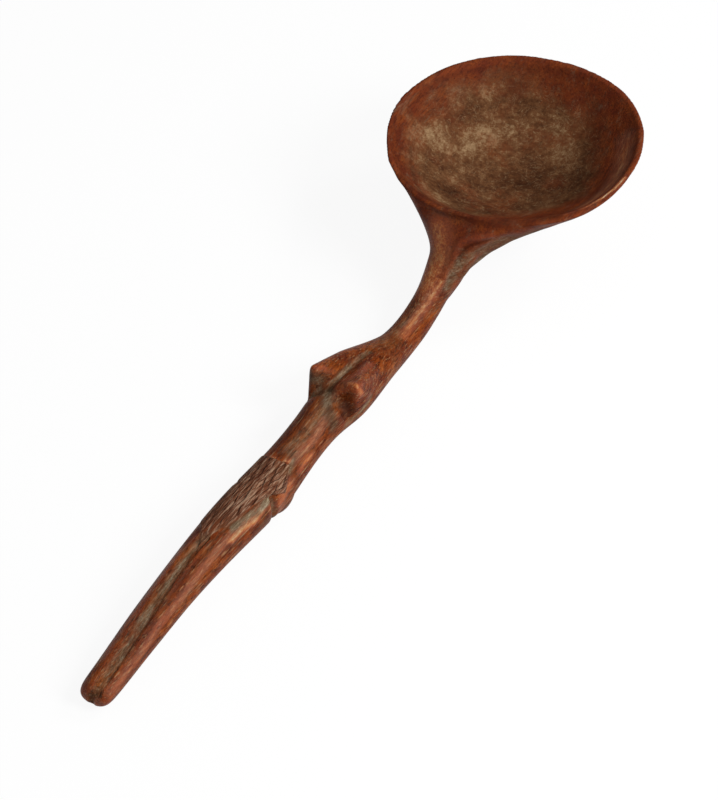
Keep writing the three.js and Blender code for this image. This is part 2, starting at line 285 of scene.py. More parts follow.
def round_form(radius, depth, above, fullness):
    """A round cap under the rim's plane, extruded down ring by ring from a flat disc, with its rim left
    standing out in some headings, tilted with the rim, and carried on above it where it is a cutter."""
    bpy.ops.object.select_all(action="DESELECT")
    bpy.ops.mesh.primitive_circle_add(
        vertices=BOWL_SIDES, radius=radius * MM, fill_type="NGON", location=RIM_AT
    )
    form = bpy.context.active_object
    bpy.ops.object.transform_apply()
    edit(form)
    reach = 2 * math.atan2(depth, radius)
    bend = radius / math.sin(reach)
    last_radius, last_height = radius, 0
    for ring in range(1, BOWL_RINGS):
        angle = reach * (1 - ring / BOWL_RINGS)
        ring_radius, height = bend * math.sin(angle), bend - depth - bend * math.cos(angle)
        drop = (0, 0, (height - last_height) * MM)
        bpy.ops.mesh.extrude_region_move(TRANSFORM_OT_translate={"value": drop})
        share = ring_radius / last_radius
        centre = RIM_AT + Vector((0, 0, height * MM))
        bpy.ops.transform.resize(value=(share, share, 1), center_override=centre)
        last_radius, last_height = ring_radius, height
    points = bmesh.from_edit_mesh(form.data)
    for point in points.verts:
        x, y, z = (point.co - RIM_AT) / MM
        heading = math.degrees(math.atan2(x, y))
        fuller = 0
        for towards, spread, stands in fullness:
            apart = abs((heading - towards + 180) % 360 - 180)
            fuller += stands * (1 + math.cos(math.pi * min(1, apart / spread))) / 2
        grown = 1 + fuller / radius * max(0, 1 + z / depth) ** 1.5
        point.co = RIM_AT + Vector((x * grown, y * grown * BOWL_STRETCH, z)) * MM
    if above:
        bpy.ops.mesh.select_all(action="DESELECT")
        points.faces.ensure_lookup_table()
        mouth = max(points.faces, key=lambda face: (round(face.calc_center_median().z, 6), len(face.verts)))
        mouth.select_set(True)
        bmesh.update_edit_mesh(form.data)
        bpy.ops.mesh.extrude_region_move(TRANSFORM_OT_translate={"value": (0, 0, above * MM)})
    else:
        bmesh.update_edit_mesh(form.data)
    bpy.ops.mesh.select_all(action="SELECT")
    bpy.ops.transform.rotate(value=-math.radians(RIM_TILT), orient_axis="X", center_override=RIM_AT)
    return close()


bowl = round_form(RIM_RADIUS, bowl_depth, 0, RIM_FULLNESS)
hollow = round_form(LIP_RADIUS, bowl_depth - BOWL_FLOOR, HOLLOW_ABOVE, LIP_FULLNESS)
for form in (bowl, handle):
    edit(form)
    close(("BOOLEAN", {"operation": "DIFFERENCE", "object": hollow, "solver": "EXACT"}))
bpy.data.objects.remove(hollow)

# One piece of wood
# The spoon is carved from one length, so its members are joined into one closed skin with no seams,
# and the corners between them are eased as a scraper leaves them.
SKIN_FACET = 0.62
bpy.ops.object.select_all(action="DESELECT")
for form in (*forms, bowl, handle):
    form.select_set(True)
bpy.context.view_layer.objects.active = handle
bpy.ops.object.join()
spoon = handle
spoon.name = "carved_spoon"

# The remesh steps along a level grid, so the spoon is turned until its rim is level, and then turned back.
for turn_back in (1, -1):
    edit(spoon)
    bpy.ops.mesh.select_all(action="SELECT")
    tilt = turn_back * math.radians(RIM_TILT)
    bpy.ops.transform.rotate(value=tilt, orient_axis="X", center_override=RIM_AT)
    if turn_back > 0:
        close(("REMESH", {"mode": "VOXEL", "voxel_size": SKIN_FACET * MM}))
    else:
        close(("SMOOTH", {"factor": 0.5, "iterations": 6}))

# The apron's field gets facets fine enough for its cuts.
APRON_FINER = 2
APRON_FINER_FROM = 78
APRON_FINER_TO = 158
APRON_FINER_BEYOND = 1.0
APRON_ABOVE = 8
APRON_TOP = 150.8
APRON_TOP_RISE = 3.0
APRON_RISE_TURN = 60
APRON_EDGE_AT = (84, 92, 98, 103, 112, 120, 127, 134, 140, 145, 153)
APRON_EDGE_TURN = (0, 10, 20, 31, 36, 39, 46, 57, 72, 54, 34)
APRON_LEFT_SHARE = 0.45
AXIS_AT = (82, 100, 118, 132, 142, 152)
AXIS_HEIGHT = (14.9, 14.7, 13.8, 12.3, 11.3, 11.8)
HIP_RADIUS = 11.0


def apron_share(x, along, z):
    """How far points lie inside the apron's edge, in millimetres round the hips or along them, and how far
    round the hips they are from the middle of the front. The apron reaches further round on the left."""
    turned = np.degrees(np.arctan2(x, z - np.interp(along, AXIS_AT, AXIS_HEIGHT)))
    edge = np.interp(along, APRON_EDGE_AT, APRON_EDGE_TURN, left=-90)
    beside = np.radians(edge - np.maximum(turned, -turned * APRON_LEFT_SHARE)) * HIP_RADIUS
    top = APRON_TOP + APRON_TOP_RISE * (turned / APRON_RISE_TURN) ** 2
    return np.minimum(beside, top - along), np.radians(turned) * HIP_RADIUS


edit(spoon)
bpy.ops.mesh.select_all(action="DESELECT")
facets = bmesh.from_edit_mesh(spoon.data)
for facet in facets.faces:
    middle = facet.calc_center_median()
    x, along, z = middle.x / MM, (middle.y - SOLES_AT) / MM, middle.z / MM
    near_apron = APRON_FINER_FROM < along < APRON_FINER_TO and z > APRON_ABOVE
    if near_apron and apron_share(x, along, z)[0] > -APRON_FINER_BEYOND:
        facet.select_set(True)
bmesh.update_edit_mesh(spoon.data)
bpy.ops.mesh.subdivide(number_cuts=APRON_FINER)
close()

# Knife work
# Grooves, notches and edges are cut into the finished form with the point of a knife. Each is a path on
# the skin, with the width and depth of the cut and how much old grime lies in it. Other paths take no wood
# away: they say where the hand has rubbed the surface pale, where highlights and a grey sheen are painted
# on, and where shade is painted dark.
ABOVE_ALL = 100
mesh = spoon.data
skin = np.empty(len(mesh.vertices) * 3, np.float32)
mesh.vertices.foreach_get("co", skin)
skin = (skin.reshape(-1, 3).astype(float) - np.array((0, SOLES_AT, 0))) / MM
grime_and_sheen, wear_and_highlight, dark = np.zeros((3, len(skin)))
links = np.empty(len(mesh.edges) * 2, np.int32)
mesh.edges.foreach_get("vertices", links)
links = links.reshape(-1, 2)
count = np.bincount(links.ravel(), minlength=len(skin))[:, None]


def lay_skin():
    """Writes the skin's points back to the piece and gives its outward directions."""
    placed = skin * MM + np.array((0, SOLES_AT, 0))
    mesh.vertices.foreach_set("co", placed.astype(np.float32).ravel())
    mesh.update()
    directions = np.empty(len(skin) * 3, np.float32)
    mesh.vertex_normals.foreach_get("vector", directions)
    return directions.reshape(-1, 3).astype(float)


def eased(values, rounds, share=1.0):
    """Values at the skin's points, each moved towards the mean of its neighbours a number of times."""
    for _ in range(rounds):
        total = np.zeros_like(values)
        for column in range(values.shape[1]):
            total[:, column] = np.bincount(links[:, 0], values[links[:, 1], column], len(values))
            total[:, column] += np.bincount(links[:, 1], values[links[:, 0], column], len(values))
        values = values + share * (total / count - values)
    return values


def front(x, along):
    """The point of the front of the spoon at this place across it and from the soles."""
    place = spoon.ray_cast(row(x, along, ABOVE_ALL), (0, 0, -1))[1]
    return np.array((place.x / MM, (place.y - SOLES_AT) / MM, place.z / MM))


def nearness(path, width):
    """How near each point of the skin is to a path: 1 on it, easing to 0 at half the width away. A place
    of the path with no height lies on the front."""
    path = [np.array(place, float) if len(place) > 2 else front(*place) for place in path]
    away = np.full(len(skin), np.inf)
    for start, end in zip(path, path[1:]):
        run = end - start
        share = np.clip((skin - start) @ run / (run @ run), 0, 1)
        away = np.minimum(away, np.linalg.norm(skin - start - share[:, None] * run, axis=1))
    near = np.clip(1 - away / (width / 2), 0, 1)
    return near * near * (3 - 2 * near)


def scrape_smooth(path, width, rounds, firmly=1.0, where=1.0):
    """Scrapes the wood near a path to one flowing face, in a number of rounds. Firmer scraping keeps its
    full strength further from the path, and where says how far each point may be scraped at all."""
    global skin
    share = np.minimum(1, nearness(path, width) * where * firmly)
    skin = eased(skin, rounds, share[:, None])


def cut(path, width, depth=0.0, grimed_and_sheened=0.0, rubbed_and_highlit=0.0, painted_shade=0.0):
    """Takes wood away along a path, or leaves it standing where the depth is negative, and says how much
    grime and painted grey sheen lie there, how pale handling and painted highlights make it, and how dark
    painted shade makes it."""
    global skin, grime_and_sheen, wear_and_highlight, dark
    near = nearness(path, width)
    skin = skin - out * (depth * near)[:, None]
    grime_and_sheen = np.maximum(grime_and_sheen, grimed_and_sheened * near)
    wear_and_highlight = np.maximum(wear_and_highlight, rubbed_and_highlit * near)
    dark = np.maximum(dark, painted_shade * near)


# Where the neck grows into the bowl, the wood is scraped to one flowing face, up to a soft lip. The root of
# its right flank and the end of the keel under the bowl are scraped too.
OUTSIDE_LIP = 60.5
COLLAR_FACE = [(-26, 309, 50), (-12, 304, 46), (2, 298, 34), (2, 303, 46), (16, 305, 47), (32, 312, 51)]
LIP = [
    (-34, 319.5, 53.6),
    (-20, 312, 53.6),
    (0, 308.8, 53.6),
    (20, 312, 53.6),
    (40, 323, 53.8),
    (52, 338, 54.2),
]
FLANK_ROOT = [(10.5, 296, 21), (13, 300, 28), (17, 305, 32)]
KEEL_END = [(-26, 338, 26), (-13, 346, 19), (0, 350, 16.5), (13, 346, 19), (26, 338, 26)]
bowl_at = (RIM_AT.y - SOLES_AT) / MM
across = np.hypot(skin[:, 0], (skin[:, 1] - bowl_at) / BOWL_STRETCH)
outside_lip = np.clip((across - OUTSIDE_LIP) / 2, 0, 1)
scrape_smooth(COLLAR_FACE, 22, 60, firmly=1.5, where=outside_lip)
scrape_smooth(LIP, 18, 36, firmly=1.4)
scrape_smooth(FLANK_ROOT, 15, 50)
scrape_smooth(KEEL_END, 34, 120, firmly=1.6)

# The hewn edges of the breasts are rounded over.
CHEST = [(0, 192, 26), (0, 214, 26), (-3, 248, 16)]
scrape_smooth(CHEST, 60, 10, firmly=2)
out = lay_skin()

# Between the legs runs a groove full of grime, with painted shade along its right side, and rubbed along
# its left. The right leg has a ridge that is rubbed and carries a painted highlight, with painted shade
# inside it, and the tip has a notch between the feet and three nicks, darkened with painted shade.
LEG_GROOVE = [(1.4, 2), (1.6, 12), (1.0, 30), (0.3, 47), (-1.0, 65), (-1.1, 79), (-0.8, 92)]
GROOVE_DARK_SIDE = [(x + 2.0, along) for x, along in LEG_GROOVE]
GROOVE_PALE_SIDE = [(x - 3.6, along) for x, along in LEG_GROOVE[1:]]
LEFT_SHIN = [(-4.5, 18), (-5.2, 50), (-6.2, 82)]
LEG_RIDGE = [(6.6, 5), (7.3, 27), (6.8, 44), (7.4, 59), (7.1, 80), (7.4, 100), (7.9, 110)]
RIDGE_SHADE = [(3.6, 20), (4.0, 45), (3.6, 70), (4.6, 88)]
TIP_NOTCH = [(-0.6, 1, 13), (-0.6, 0.6, 6), (-0.6, 1, 1)]
NICKS = [(2.1, 9.6), (0.1, 15.1), (2.4, 3.6)]
cut(LEG_GROOVE, 7.0, 1.1, grimed_and_sheened=0.9)
cut(GROOVE_DARK_SIDE, 2.2, 0.6, painted_shade=0.8)
cut(GROOVE_PALE_SIDE, 2.4, rubbed_and_highlit=0.5)
cut(LEFT_SHIN, 8.0, rubbed_and_highlit=0.5)
cut(LEG_RIDGE, 7.0, -0.2, grimed_and_sheened=0.25, rubbed_and_highlit=0.62)
cut(RIDGE_SHADE, 4.5, painted_shade=0.45)
cut(TIP_NOTCH, 4.4, 1.8, grimed_and_sheened=0.6, painted_shade=0.4)
for x, along in NICKS:
    cut([(x, along), (x + 0.2, along + 0.8)], 1.8, 0.9, painted_shade=0.6)

# Under each buttock a notch, darkened with painted shade, sets it off from the thigh. The right hip and
# thigh are rubbed bright, with painted shade between them.
BUTTOCK_NOTCH = [(9.2, 132.0, 19.0), (11.4, 130.5, 14), (11.2, 130, 8), (8, 130, 3), (0, 130, 2.5)]
HIP_SHINE = [(10.4, 146, 16.8), (10.9, 139, 15), (10.6, 134.5, 13.6)]
THIGH_SHADE = [(11.5, 127, 12.9), (11.4, 120, 13.6), (11.2, 113, 14.6)]
THIGH_SHINE = [(9.4, 124, 19.5), (9.8, 116, 19), (9.1, 108, 20.4), (8.6, 99, 20.8)]
for side in (-1, 1):
    cut([(side * x, along, z) for x, along, z in BUTTOCK_NOTCH], 7.0, 1.7, grimed_and_sheened=0.3, painted_shade=0.3)
cut(HIP_SHINE, 9.0, rubbed_and_highlit=0.75)
cut(THIGH_SHADE, 7.0, painted_shade=0.6)
cut(THIGH_SHINE, 7.0, grimed_and_sheened=0.15, rubbed_and_highlit=1.1)

# Between the breasts lies a groove pale with grime, which spreads over the waist below it, and painted
# shade darkens its foot. Painted shade also lies over the upper chest and down the left of the waist, and
# a painted highlight, greyed with grime, runs down the waist beside a rubbed place.
CHEST_GROOVE = [(-1.1, 234), (-1.8, 219), (-2.4, 210), (-2.6, 203), (-1.8, 196)]
GROOVE_FOOT = [(-1.8, 199), (1.6, 192), (5.6, 187), (8.4, 185)]
SHOULDER_SHADE = [(-7, 212), (-4, 226), (2, 240), (4, 250)]
WAIST_FILM = [(2.6, 186), (3.6, 172), (2.6, 158)]
WAIST_HIGHLIGHT = [(5.4, 183), (6.6, 174), (6.6, 168), (6.0, 157)]
WAIST_SHINE = [(8.9, 166, 16.8), (9.2, 159, 16.9), (10.3, 153, 16.4)]
WAIST_SHADE = [(-5.5, 158), (-5, 174), (-5.5, 190)]
cut(CHEST_GROOVE, 4.8, 0.5, grimed_and_sheened=0.8)
cut(GROOVE_FOOT, 12.0, grimed_and_sheened=0.5, painted_shade=0.85)
cut(SHOULDER_SHADE, 18.0, painted_shade=0.25)
cut(WAIST_FILM, 14.0, grimed_and_sheened=0.5)
cut(WAIST_HIGHLIGHT, 8.0, grimed_and_sheened=0.4, rubbed_and_highlit=0.65)
cut(WAIST_SHINE, 5.0, rubbed_and_highlit=0.75)
cut(WAIST_SHADE, 11.0, painted_shade=0.4)

# Under each breast the steep face is darkened with painted shade and ends in a crease. The tips and the
# edges of the slopes are rubbed. The right breast's tip and inner edge also carry painted highlights, and
# painted light brightens its slope beside the groove. A strip of grey grime along its right side also
# paints a pale edge light.
LEFT_UNDERSIDE = [(-11.5, 199, 28), (-7.5, 202.2, 25.5), (-5.5, 197.5, 22.5)]
LEFT_CREASE_GRIME = [(-8, 195.6, 21.2), (-5.5, 195, 22.5)]
LEFT_CREASE = [(-10, 194.5, 19.5), (-5.5, 197.5, 22.5)]
RIGHT_CREASE = [(4.5, 194, 23.5), (8.6, 194.5, 21.5), (11, 195, 17)]
RIGHT_UNDERSIDE = [(10.4, 197.2, 26), (8.2, 195.6, 22.8), (11.4, 197.6, 18.5), (10, 193.6, 19)]
RIGHT_SIDE_GRIME = [(12.2, 213, 16), (11.8, 203, 14), (10.6, 193, 13.5)]
RIGHT_TIP = [(6.4, 203, 28.8), (9, 202.4, 30.4), (12, 201.6, 30.5), (12.8, 203, 25.5)]
LEFT_TIP = [(-12.4, 201.6, 32.5), (-8, 205.5, 29.5)]
RIGHT_INNER_EDGE = [(1.6, 197, 25), (5.0, 199, 27), (8.4, 199, 29)]
RIGHT_SLOPE = [(3.0, 206), (5.6, 214), (4.8, 225)]
LEFT_SLOPE_EDGE = [(-13, 202, 33), (-9.4, 213, 29.5), (-4.5, 236, 21.5)]
cut(LEFT_UNDERSIDE, 11.0, grimed_and_sheened=0.45, painted_shade=0.85)
cut(LEFT_CREASE_GRIME, 4.5, grimed_and_sheened=1.0)
cut(LEFT_CREASE, 7.0, 0.8)
cut(RIGHT_CREASE, 8.0, 1.0)
cut(RIGHT_UNDERSIDE, 10.0, painted_shade=1.0)
cut(RIGHT_SIDE_GRIME, 5.0, grimed_and_sheened=0.9)
cut(RIGHT_TIP, 7.0, rubbed_and_highlit=0.87)
cut(LEFT_TIP, 6.0, rubbed_and_highlit=0.75)
cut(RIGHT_INNER_EDGE, 5.5, rubbed_and_highlit=0.65)
cut(RIGHT_SLOPE, 9.0, rubbed_and_highlit=0.55)
cut(LEFT_SLOPE_EDGE, 5.0, rubbed_and_highlit=0.2)

# A painted highlight, pale with some grey, runs along the crest of the neck. At its root the right flank is
# hollowed, and the keel below it is trimmed to one line.
NECK_HIGHLIGHT = [(5.4, 290), (3.6, 283), (2.8, 276), (2.6, 266), (2.8, 258)]
NECK_FILM = [(0.6, 286), (0.8, 272), (0, 258)]
FLANK = [(18, 307.5, 35), (27, 313, 41)]
FLANK_FOOT = [(10.6, 300.2, 24), (13.4, 304.2, 30)]
KEEL_HIGH = [(36, 325, 42.5), (41, 328, 46)]
KEEL_MIDDLE = [(25, 321, 33.5), (30, 322.5, 37.5)]
KEEL_LOW = [(9.5, 311.5, 20), (11.5, 313, 22)]
KEEL = [
    (9.5, 311.5, 20),
    (14.3, 313.9, 25.3),
    (22.2, 320.3, 31.2),
    (28, 322, 36),
    (38.5, 326.5, 44.2),
    (46, 331, 48),
]
cut(NECK_HIGHLIGHT, 10, rubbed_and_highlit=0.75)
cut(NECK_HIGHLIGHT[:4], 5, grimed_and_sheened=0.3, rubbed_and_highlit=0.95)
cut(NECK_FILM, 14, grimed_and_sheened=0.35)
cut(FLANK, 17, 1.2, grimed_and_sheened=0.65)
cut(FLANK_FOOT, 9, -0.9, grimed_and_sheened=0.6)
cut(KEEL_HIGH, 12, -1.2)
cut(KEEL_MIDDLE, 12, 0.6)
cut(KEEL_LOW, 12, -1.1)
scrape_smooth(KEEL, 13, 70, firmly=1.5)

# Grime and some painted shade lie on the flank, behind a rubbed ridge that parts it from the front of the
# collar, and painted shade lies in the crease at the ridge's foot. The front of the collar is painted
# lighter, with a grey painted sheen.
FLANK_GRIME = [(11, 307, 23), (20, 315, 31), (36, 322.5, 42.5)]
FLANK_EDGE = [
    (8.1, 291.5, 21.5),
    (9.7, 295.8, 28.2),
    (11.4, 298.4, 32.6),
    (14.2, 301.8, 35.5),
    (19, 307.4, 38),
]
COLLAR_RIDGE = [
    (6.0, 291.5, 26.5),
    (7.0, 294.5, 31.5),
    (7.9, 298, 37),
    (9.2, 300.6, 41.8),
    (13.1, 302.7, 44.2),
    (21.4, 307, 46.7),
]
RIDGE_FOOT = [(x + 2.2, along, z - 2.4) for x, along, z in COLLAR_RIDGE]
COLLAR_PAINTED_LIGHT = [(-1, 286), (0, 296, 34), (-3, 301, 44)]
cut(FLANK_GRIME, 18, grimed_and_sheened=0.9, painted_shade=0.3)
cut(FLANK_EDGE, 10, grimed_and_sheened=0.8)
cut(COLLAR_RIDGE, 6, -0.6, rubbed_and_highlit=0.45)
cut(RIDGE_FOOT, 3.4, 0.3, painted_shade=0.6)
cut(COLLAR_PAINTED_LIGHT, 24, grimed_and_sheened=0.2, rubbed_and_highlit=0.85)

# Painted shade darkens a band under the lip and a line inside it. A painted highlight, whitened with grey,
# lies on the rim at the near right, and the inner wall there is rubbed and painted with a grey sheen.
LIP_BAND = [
    (-32, 317, 52),
    (-14, 309.5, 52),
    (2, 306.5, 51.5),
    (18, 308.5, 52),
    (34, 316, 52.5),
    (46, 327, 53),
]
RIM_HIGHLIGHT = [(60, 366, 55), (59.6, 357, 54.8), (57.2, 347, 54.5), (54, 339.5, 54.2), (47, 329.5, 54)]
INNER_RIGHT = [(46, 398, 48), (52, 380, 48), (54, 362, 49), (48, 344, 49)]
LIP_LINE = [(-44, 348, 44), (-34.5, 333, 44), (-24, 320, 47), (-12, 310.5, 51), (0, 309, 52), (12, 311, 52)]
cut(LIP_BAND, 9, painted_shade=0.55)
cut(RIM_HIGHLIGHT, 2.2, grimed_and_sheened=0.35, rubbed_and_highlit=1.5)
cut(INNER_RIGHT, 20, grimed_and_sheened=0.4, rubbed_and_highlit=0.75)
cut(LIP_LINE, 5, painted_shade=0.7)

# Apron
# A short apron in low relief, from a step below the waist to a point between the thighs. Its weave is
# drawn with wavering cuts along it that part and meet, so that they leave long lozenges standing.
APRON_RELIEF = 0.7
APRON_STEP = 1.0
APRON_RUNS_OUT = (-14, -8)
APRON_GRIME = 0.25
WEAVE_INSET = 0.3
WEAVE_STEP = 0.6
WEAVE_FAINT_AT = (90, 108)
WEAVE_FAINT = (0.35, 1)
CUT_SPACING = 2.3
CUT_WIDTH = 0.52
CUT_DEPTH = 0.34
CUT_FLAT = 1.4
CUT_SLANT = 0.1
CUT_WAVERS = 0.3
RIGHT_HALF = (-2, 8)
RIGHT_SLANT = (0, 0.18)
RIGHT_SLANT_ENDS = 22
STROKE_LENGTH = 13.0
STROKE_SHIFT = 2.6
STROKE_WAVERS = 3
STROKE_PRESSED = 0.6
STROKE_VARIES = 0.4
WAVER_WIDTH = 4
WAVER_LENGTH = 9
LEANS_APART = 9
inner, round_hips = apron_share(skin[:, 0], skin[:, 1], skin[:, 2])
on_front = skin[:, 2] > APRON_ABOVE
step = np.where(on_front, np.clip(inner / APRON_STEP, 0, 1), 0)
step = step * step * (3 - 2 * step) * np.interp(round_hips, APRON_RUNS_OUT, (0, 1))
field = np.where(on_front, np.clip((inner - WEAVE_INSET) / WEAVE_STEP, 0, 1), 0)
field = field * np.interp(skin[:, 1], WEAVE_FAINT_AT, WEAVE_FAINT)
down = APRON_TOP - skin[:, 1]
right_slant = np.interp(round_hips, RIGHT_HALF, RIGHT_SLANT)
slant = CUT_SLANT * down + right_slant * np.minimum(down, RIGHT_SLANT_ENDS)
woven = np.zeros(len(skin))
for lean in (-1, 1):
    wavering = np.array([
        noise.noise(Vector((x / WAVER_WIDTH, along / WAVER_LENGTH, z / WAVER_WIDTH + LEANS_APART * lean)))
        for x, along, z in skin
    ])
    cuts_across = (round_hips + lean * slant) / CUT_SPACING + CUT_WAVERS * wavering
    nearest_cut = np.round(cuts_across)
    away = np.abs(cuts_across - nearest_cut) * CUT_SPACING
    stroke = 2 * np.pi * skin[:, 1] / STROKE_LENGTH + nearest_cut * STROKE_SHIFT + STROKE_WAVERS * wavering
    pressed = STROKE_PRESSED + STROKE_VARIES * np.sin(stroke)
    woven = np.maximum(woven, pressed * np.clip(CUT_FLAT * (1 - away / (CUT_WIDTH / 2)), 0, 1))
skin = skin + out * (step * APRON_RELIEF - field * woven * CUT_DEPTH)[:, None]
grime_and_sheen = np.maximum(grime_and_sheen, APRON_GRIME * field)

# A fine cut, darkened with painted shade, borders the apron on the right. Its top edge is rubbed, and grime
# lies beside it.
BORDER = [
    (5.8, 152),
    (9.2, 145),
    (10.6, 140),
    (8.9, 134),
    (8.0, 127),
    (6.9, 120),
    (6.4, 112),
    (5.2, 103),
    (3.4, 97),
]
APRON_TOP_EDGE = [(-3, 151.4), (-0.9, 151.2), (2.5, 151.8), (5.4, 152.8)]
APRON_CORNER = [(5.8, 156), (6.6, 152.5), (8.0, 149)]
THIGH_GRIME = [(8.8, 130), (8.8, 120), (7.8, 111), (6.8, 104)]
cut(BORDER, 1.4, 0.3, painted_shade=0.5)
cut(APRON_TOP_EDGE, 1.5, rubbed_and_highlit=1.2)
cut(APRON_CORNER, 4.5, grimed_and_sheened=0.9)
cut(THIGH_GRIME, 6.4, grimed_and_sheened=1.8)

# Small unevenness that a knife leaves: long shallow facets along the handle and soft waves in the bowl
FACET_LENGTH = 34
FACET_WIDTH = 7
FACET_DEPTH = 0.22
uneven = np.array([
    noise.noise(Vector((x / FACET_WIDTH, along / FACET_LENGTH, z / FACET_WIDTH))) for x, along, z in skin
])
skin = skin + out * (FACET_DEPTH * uneven)[:, None]
out = lay_skin()

# Wood
# A dense reddish hardwood, oiled by years of handling: dark red-brown, worn to orange on the ridges,
# grey-brown where old grime lies in the cuts, and dull with dried residue in the bowl. Painted highlights,
# painted sheen, painted shade and painted light are mixed into its colour as well.


def linear(colour):
    """A colour written as a hex number, in linear light."""
    parts = [int(colour[i:i + 2], 16) / 255 for i in (1, 3, 5)]
    return [p / 12.92 if p <= 0.04045 else ((p + 0.055) / 1.055) ** 2.4 for p in parts] + [1]


def add(kind, inputs, stops=(), **settings):
    """Adds a node with its settings and the stops of its ramp, and gives its inputs their values or links."""
    node = tree.nodes.new("ShaderNode" + kind)
    for name, value in settings.items():
        setattr(node, name, value)
    for place, (at, colour) in enumerate(stops):
        stop = node.color_ramp.elements.new(at) if place > 1 else node.color_ramp.elements[place]
        stop.position = at
        stop.color = linear(colour)
    for name, value in inputs.items():
        if isinstance(value, bpy.types.NodeSocket):
            tree.links.new(value, node.inputs[name])
        else:
            node.inputs[name].default_value = value
    return node


# The hand rubs what stands proud on the handle, and grime settles in what lies low, apart from where
# shade is painted.
RIDGE_FROM = 0.15
CREASE_FROM = 0.08
RIDGE_STANDS = 0.35
RIDGE_WEAR = 0.5
CREASE_GRIME = 0.7
NECK_ROOT = 290
ridge = ((skin - eased(skin, 24)) * out).sum(axis=1)
ridge = eased(ridge[:, None], 3)[:, 0]
proud = np.clip((ridge - RIDGE_FROM) / RIDGE_STANDS, 0, 1) * (skin[:, 1] < NECK_ROOT)
sunk = np.clip((-ridge - CREASE_FROM) / RIDGE_STANDS, 0, 1) * np.clip(1 - dark, 0, 1)
wear_and_highlight = np.maximum(wear_and_highlight, RIDGE_WEAR * proud)
grime_and_sheen = np.maximum(grime_and_sheen, CREASE_GRIME * sunk)

# The residue in the bowl reaches the lip on the near left, and stays away from the rim on the right.
RESIDUE_TOWARDS = (-177, -150, -120, -80, -30, 25, 55, 100, 120, 140, 165)
RESIDUE_REACH = (57, 54, 50, 53, 53, 52, 43, 45, 39, 34, 40)
RESIDUE_OVER = 4
RESIDUE_FADES = 14
INSIDE_LIP = 57.5
INSIDE_ABOVE = 20
BOWL_REACH = 62
BARE_RIGHT = (0, 45)
BARE_DARK = (0.3, 0)
ARC_RADIUS = 57
BETWEEN_CUTS = 0.3
across = np.hypot(skin[:, 0], (skin[:, 1] - bowl_at) / BOWL_STRETCH)
inward = (out[:, 0] * -skin[:, 0] + out[:, 1] * -(skin[:, 1] - bowl_at)) / np.maximum(across, 1)
faces_in = (out[:, 2] > 0.2) | (inward > 0.3)
at_bowl = (skin[:, 1] > bowl_at - BOWL_REACH) & (skin[:, 2] > INSIDE_ABOVE)
inside = at_bowl & (across < INSIDE_LIP) & faces_in
heading = np.arctan2(skin[:, 0], skin[:, 1] - bowl_at)
reach = np.interp(np.degrees(heading), RESIDUE_TOWARDS, RESIDUE_REACH, period=360)
in_hollow = np.where(inside, np.clip((reach + RESIDUE_OVER - across) / RESIDUE_FADES, 0, 1), 0)
# The bare wood inside the rim is painted darker towards the left.
dark = np.maximum(dark, inside * (1 - in_hollow) * np.interp(skin[:, 0], BARE_RIGHT, BARE_DARK))
weave = field * (BETWEEN_CUTS + (1 - BETWEEN_CUTS) * woven)

# The material reads these shares, and its rubbing marks follow places round the bowl and out from its middle.
out_and_round = np.stack((across, heading * ARC_RADIUS, np.zeros(len(skin))), axis=1) * MM
polar = mesh.attributes.new("polar", "FLOAT_VECTOR", "POINT")
polar.data.foreach_set("vector", out_and_round.astype(np.float32).ravel())
masks = {"wear_and_highlight": wear_and_highlight, "grime_and_sheen": grime_and_sheen, "dark": dark, "hollow": in_hollow, "weave": weave}
for name, values in masks.items():
    mesh.attributes.new(name, "FLOAT", "POINT").data.foreach_set("value", values.astype(np.float32))

wood = bpy.data.materials.new("oiled_red_hardwood")
wood.use_nodes = True
tree = wood.node_tree
tree.nodes.clear()
share = {name: add("Attribute", {}, attribute_name=name).outputs["Fac"] for name in masks}

# The grain runs along the spoon: blotches of darker and more orange wood, fine fibres and short dark pores.
# The fibres and the scratches are drawn about 1 mm wide, coarser than real ones, so that they show.
GRAIN_DRAWN = (1, 0.17, 1)
BAND_WIDTH = 3.6
MOTTLE_WIDTH = 14
FIBRE_WIDTH = 1
place = add("TexCoord", {}).outputs["Object"]
along_grain = add("Mapping", {"Vector": place, "Scale": GRAIN_DRAWN}).outputs["Vector"]
bands = add(
    "TexNoise", {"Vector": along_grain, "Scale": 1 / (BAND_WIDTH * MM), "Detail": 8, "Roughness": 0.7}
).outputs["Fac"]
mottle = add(
    "TexNoise", {"Vector": place, "Scale": 1 / (MOTTLE_WIDTH * MM), "Detail": 9, "Roughness": 0.7}
).outputs["Fac"]
fibre = add(
    "TexNoise", {"Vector": along_grain, "Scale": 1 / (FIBRE_WIDTH * MM), "Detail": 4, "Roughness": 0.8}
).outputs["Fac"]
figure = add("Mix", {0: 0.5, 2: bands, 3: mottle}).outputs[0]
wood_stops = ((0.3, "#3e1407"), (0.44, "#68290f"), (0.54, "#843d14"), (0.7, "#ab5b20"))
body = add("ValToRGB", {"Fac": figure}, stops=wood_stops).outputs["Color"]
pore_stops = ((0.38, "#50352b"), (0.53, "#ffffff"))
pores = add("ValToRGB", {"Fac": fibre}, stops=pore_stops).outputs["Color"]
body = add("Mix", {0: 0.8, 6: body, 7: pores}, data_type="RGBA", blend_type="MULTIPLY").outputs[2]

